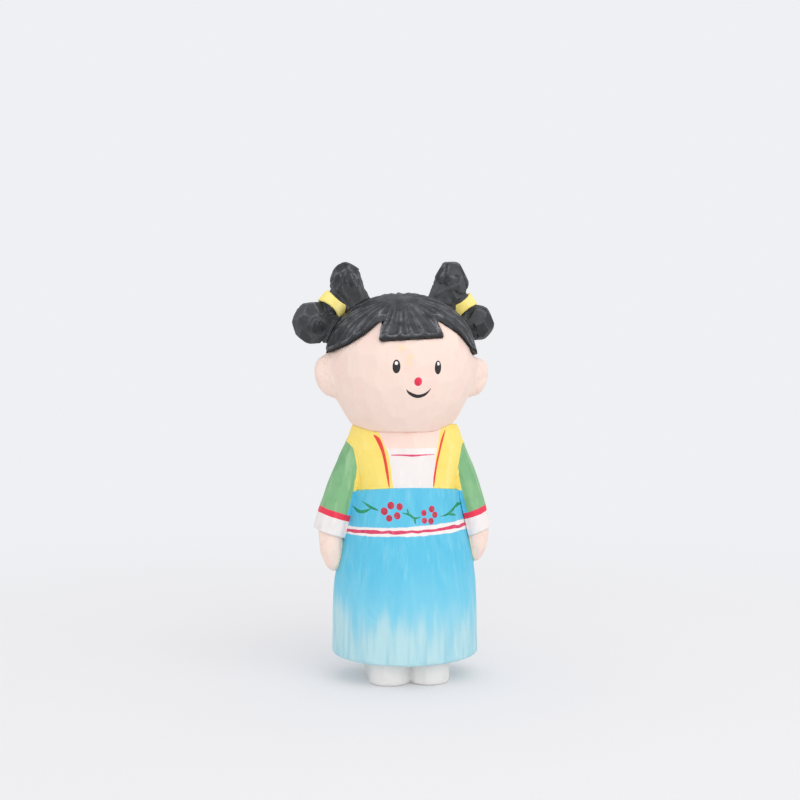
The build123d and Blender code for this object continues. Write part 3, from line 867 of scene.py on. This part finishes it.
def dab(host, ray, x, z, half_width, half_height, thickness=0.1, cells=10):
    """A rounded dab of paint."""
    rows = []
    for i in range(cells + 1):
        v = 2 * i / cells - 1
        row = []
        for j in range(cells + 1):
            u = 2 * j / cells - 1
            a = u * math.sqrt(1 - v * v / 2)
            b = v * math.sqrt(1 - u * u / 2)
            height = math.sqrt(max(0.0, 1 - a * a - b * b))
            row.append((ray(x + a * half_width, z + b * half_height), height))
        rows.append(row)
    return film(host, rows, thickness)


def spline(points, steps):
    """A smooth path through given points of any number of values."""
    points = [Vector(p) for p in points]
    padded = [2 * points[0] - points[1]] + points + [2 * points[-1] - points[-2]]
    path = []
    for a, b, c, d in zip(padded, padded[1:], padded[2:], padded[3:]):
        for k in range(steps):
            t = k / steps
            path.append(0.5 * (
                2 * b + (c - a) * t + (2 * a - 5 * b + 4 * c - d) * t ** 2
                + (3 * b - 3 * c + d - a) * t ** 3
            ))
    return path + [points[-1]]


def stroke(host, ray, points, thickness=0.1, steps=8, across=6):
    """A brush line through (x, z, width) points."""
    path = spline(points, steps)
    rows = []
    for i, here in enumerate(path):
        ahead = path[min(i + 1, len(path) - 1)] - path[max(i - 1, 0)]
        length = math.hypot(ahead[0], ahead[1])
        sideways = (-ahead[1] / length, ahead[0] / length)
        ends = min(1.0, 4 * min(i, len(path) - 1 - i) / len(path) + 0.1)
        row = []
        for j in range(across + 1):
            u = 2 * j / across - 1
            reach = u * here[2] / 2 * math.sqrt(ends)
            place = (here[0] + sideways[0] * reach, here[1] + sideways[1] * reach)
            row.append((ray(*place), math.sqrt(1 - u * u) * ends))
        rows.append(row)
    return film(host, rows, thickness)


def put_films(name, films, material):
    """Several films of one colour as one piece."""
    points, faces = [], []
    for film_points, film_faces in films:
        faces += [tuple(k + len(points) for k in face) for face in film_faces]
        points += film_points
    return add_mesh(name, points, faces, material)


def line_paint(name, colour, light, dark):
    """A thicker coat for lines and dabs, uneven in tone."""
    paint = Paint(name, roughness=0.5, specular=0.4)
    uneven = paint.noise(0.8, 3.0)
    patches = paint.noise(2.0, 2.0, offset=3.0)
    mixed = paint.mix(paint.between(uneven, 0.45, 0.8), colour, light)
    mixed = paint.mix(paint.between(patches, 0.45, 0.25), mixed, dark)
    return paint.finish(mixed, uneven, 0.3, 0.04)


def paint_face():
    host = SHELLS["head"].tree()
    black = line_paint("line_black", BLACK, (66, 60, 62), (20, 18, 20))
    white = line_paint("line_white", (252, 252, 252), (255, 255, 255), (236, 236, 236))
    red = line_paint("nose_red", (238, 52, 84), (246, 96, 112), (214, 36, 70))
    put_films("eye_left", [dab(host, face_ray, -5.9, 88.7, 1.06, 1.88)], black)
    put_films("eye_right", [dab(host, face_ray, 5.7, 88.5, 1.0, 1.88)], black)
    glints = [
        dab(host, face_ray, -5.93, 89.58, 0.5, 0.58, 0.2, 8),
        dab(host, face_ray, 5.75, 89.5, 0.43, 0.56, 0.2, 8),
    ]
    put_films("eye_glints", glints, white)
    put_films("nose", [dab(host, face_ray, 0.1, 84.6, 1.08, 1.2, 0.16)], red)
    smile = [
        (-3.0, 82.5, 0.3), (-2.5, 81.8, 0.6), (-1.3, 81.05, 0.85), (0.3, 80.6, 0.95),
        (2.0, 81.0, 0.8), (3.2, 81.9, 0.5), (3.9, 82.8, 0.28),
    ]
    put_films("mouth", [stroke(host, face_ray, smile)], black)


def paint_robe():
    host = SHELLS["torso"].tree()
    piping = line_paint("piping_red", PIPING_RED, (244, 96, 66), (222, 42, 56))
    rose = line_paint("bodice_rose", ROSE, (240, 120, 150), (204, 50, 96))
    left = [
        (-10.1, 69.8, 0.9), (-8.8, 68.2, 1.15), (-7.5, 64.4, 0.85), (-6.6, 59.5, 0.75),
        (-6.0, SASH_Z + 0.3, 0.7),
    ]
    right = [
        (10.4, 71.2, 0.6), (9.2, 68.2, 0.65), (7.7, 62.7, 0.6), (6.9, 58.2, 0.6),
        (6.6, SASH_Z + 0.3, 0.65),
    ]
    put_films("piping_left", [stroke(host, front_ray, left)], piping)
    put_films("piping_right", [stroke(host, front_ray, right)], piping)
    line = [(-5.5, 64.2, 0.6), (-2.6, 64.2, 0.4), (0.5, 64.05, 0.6), (3.4, 64.2, 0.35), (6.8, 64.3, 0.4)]
    put_films("bodice_line", [stroke(host, front_ray, line, 0.08)], rose)


BERRIES = [               # (x, z, half width)
    (-5.7, 50.2, 0.95), (-7.5, 48.6, 0.95), (-3.3, 49.9, 0.9), (-4.0, 47.4, 0.9), (-6.2, 46.7, 0.85),
    (3.5, 48.1, 0.78), (5.8, 49.1, 0.85), (6.7, 47.5, 0.8), (3.6, 46.0, 0.75), (5.5, 45.8, 0.82),
]
SPRIGS = [                # (x, z, width) along each stem
    [(-8.8, 48.7, 0.35), (-11.1, 49.6, 0.75), (-13.3, 51.2, 0.3)],
    [(-11.0, 49.2, 0.5), (-12.8, 48.3, 0.8), (-14.3, 48.3, 0.9), (-15.6, 49.6, 0.35)],
    [(-2.7, 48.2, 0.35), (-0.7, 47.7, 0.6), (0.8, 46.7, 0.6), (2.6, 47.0, 0.35)],
    [(-0.8, 47.8, 0.5), (-1.3, 49.4, 0.3)],
    [(0.8, 46.6, 0.7), (1.0, 45.1, 0.25)],
    [(8.4, 46.9, 0.3), (10.8, 47.5, 0.65), (12.9, 49.0, 0.7), (14.3, 50.6, 0.3)],
    [(12.8, 48.9, 0.6), (14.4, 49.9, 0.9), (15.7, 49.8, 0.35)],
    [(10.6, 47.4, 0.5), (12.2, 47.2, 0.6), (13.5, 46.9, 0.3)],
]


def paint_sash():
    host = SHELLS["skirt"].tree()
    rim = line_paint("berry_rose", BERRY, (226, 80, 112), (190, 30, 68))
    core = line_paint("berry_core", BERRY_CORE, (216, 98, 88), (176, 50, 66))
    green = line_paint("leaf_green", LEAF, (60, 170, 120), (20, 120, 84))
    rims = [dab(host, front_ray, x, z, r, r * 1.12, 0.12, 8) for x, z, r in BERRIES]
    cores = [dab(host, front_ray, x, z, 0.62 * r, 0.7 * r, 0.17, 6) for x, z, r in BERRIES]
    put_films("sash_berries", rims, rim)
    put_films("sash_berry_centres", cores, core)
    stems = [stroke(host, front_ray, sprig, 0.09, 6, 4) for sprig in SPRIGS]
    put_films("sash_sprigs", stems, green)


def paint_waist():
    """The uneven red line round the white band, from one arm round the back and on to the other."""
    host = SHELLS["skirt"].tree()
    rose = line_paint("waist_rose", (220, 60, 100), (236, 110, 140), (196, 50, 88))
    rng = np.random.default_rng(17)
    count = 56
    wobble = rng.uniform(-0.22, 0.22, count)
    widths = rng.uniform(0.65, 1.15, count)
    half_width = box_mm("skirt")[1][0]
    points = []
    for k in range(count + 1):
        angle = 2 * math.pi * k / count
        aside = half_width * 0.85 * math.sin(angle)
        height = STRIPE[0] + STRIPE[1] * aside + BAND_LIFT * aside ** 2 + wobble[k % count]
        points.append((angle, height, widths[k % count]))
    path = spline(points, 5)
    rows = []
    for angle, height, width in path:
        row = []
        for j in range(7):
            u = 2 * j / 6 - 1
            row.append((round_ray(angle, height + u * width / 2), math.sqrt(1 - u * u)))
        rows.append(row)
    put_films("waist_stripe", [film(host, rows, 0.1)], rose)


# ---- stage ---------------------------------------------------------------------------------------

BACKDROP = (239, 240, 243)
FLOOR = (240, 238, 239)
FLOOR_R = 4.0                 # metres
FLOOR_SIDES = 96
# the glow starts under the doll, so it already lightens the shadows cast near it
FLOOR_GLOW_FADE = (-80.0, 420.0)   # millimetres from the doll over which the floor turns into backdrop


def make_camera():
    angle = math.radians(CAMERA_AZIMUTH)
    out = Vector((math.sin(angle), -math.cos(angle), 0))
    right = Vector((math.cos(angle), math.sin(angle), 0))
    data = bpy.data.cameras.new("camera")
    data.lens = CAMERA_LENS
    data.clip_start = 0.01
    camera = bpy.data.objects.new("camera", data)
    up = Vector((0, 0, CAMERA_HEIGHT))
    camera.location = (out * CAMERA_DISTANCE + right * CAMERA_SIDEWAYS + up) * MM
    camera.rotation_euler = (math.pi / 2, 0, angle)
    bpy.context.scene.collection.objects.link(camera)
    bpy.context.scene.camera = camera


def area_light(name, place, power, size, colour=(1, 1, 1)):
    """A soft square light in metres, aimed at the doll's middle."""
    data = bpy.data.lights.new(name, "AREA")
    data.energy = power
    data.size = size
    data.color = colour
    light = bpy.data.objects.new(name, data)
    light.location = place
    aim = Vector((0, 0, 0.06)) - Vector(place)
    light.rotation_euler = aim.to_track_quat("-Z", "Y").to_euler()
    bpy.context.scene.collection.objects.link(light)


def make_stage():
    """A pale floor that fades into the even light around it; it already glows in part beside the doll,
    which lightens the shadows cast on it.
    """
    world = bpy.data.worlds.new("studio")
    world.use_nodes = True
    world.node_tree.nodes["Background"].inputs["Color"].default_value = linear(BACKDROP)
    bpy.context.scene.world = world
    bpy.context.scene.view_settings.view_transform = "Standard"

    angles = [2 * math.pi * k / FLOOR_SIDES for k in range(FLOOR_SIDES)]
    rim = [(FLOOR_R * math.cos(angle), FLOOR_R * math.sin(angle), 0.0) for angle in angles]
    mesh = bpy.data.meshes.new("floor")
    mesh.from_pydata(rim, [], [tuple(range(FLOOR_SIDES))])
    floor = bpy.data.objects.new("floor", mesh)
    bpy.context.scene.collection.objects.link(floor)

    paint = Paint("floor", roughness=0.9, specular=0.1)
    mottle = paint.noise(60.0, 2.0)
    colour = paint.mix(mottle, FLOOR, tuple(c - 2 for c in FLOOR))
    paint.finish(colour, mottle, 0.02)
    nodes, links = paint.tree.nodes, paint.tree.links
    # Painted light: the floor glows, in part even beside the doll, lifting the shadows cast there.
    glow = nodes.new("ShaderNodeEmission")
    glow.inputs["Color"].default_value = linear(BACKDROP)
    length = nodes.new("ShaderNodeVectorMath")
    length.operation = "LENGTH"
    links.new(paint.millimetres, length.inputs[0])
    blend = nodes.new("ShaderNodeMixShader")
    links.new(paint.between(length.outputs["Value"], *FLOOR_GLOW_FADE), blend.inputs[0])
    links.new(paint.bsdf.outputs[0], blend.inputs[1])
    links.new(glow.outputs[0], blend.inputs[2])
    links.new(blend.outputs[0], nodes["Material Output"].inputs["Surface"])
    mesh.materials.append(paint.material)

    area_light("key", (0.34, -0.64, 0.74), 2.0, 0.9, (1.0, 0.985, 0.965))
    area_light("fill", (0.06, -0.9, 0.4), 1.2, 0.9, (1.0, 0.985, 0.97))


# ---- putting it together ----------------------------------------------------------------------------

make_camera()
make_stage()

carve_feet()
carve_skirt()
carve_torso()
carve_sleeve("sleeve_left", -1, 61)
carve_sleeve("sleeve_right", 1, 62)
carve_hand("hand_left", 71)
carve_hand("hand_right", 72)
carve_head()
carve_hair()
carve_bun("upper_bun_left", 81)
carve_bun("upper_bun_right", 82)
carve_bun("lower_bun_left", 83)
carve_bun("lower_bun_right", 84)
carve_tie("hair_tie_left", 91)
carve_tie("hair_tie_right", 92)

paint_face()
paint_robe()
paint_sash()
paint_waist()

for name, cad_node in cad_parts.items():
    if name.endswith(("dowel", "dowels")):
        cad_node.data.materials.clear()
        cad_node.data.materials.append(coat("bare_wood"))
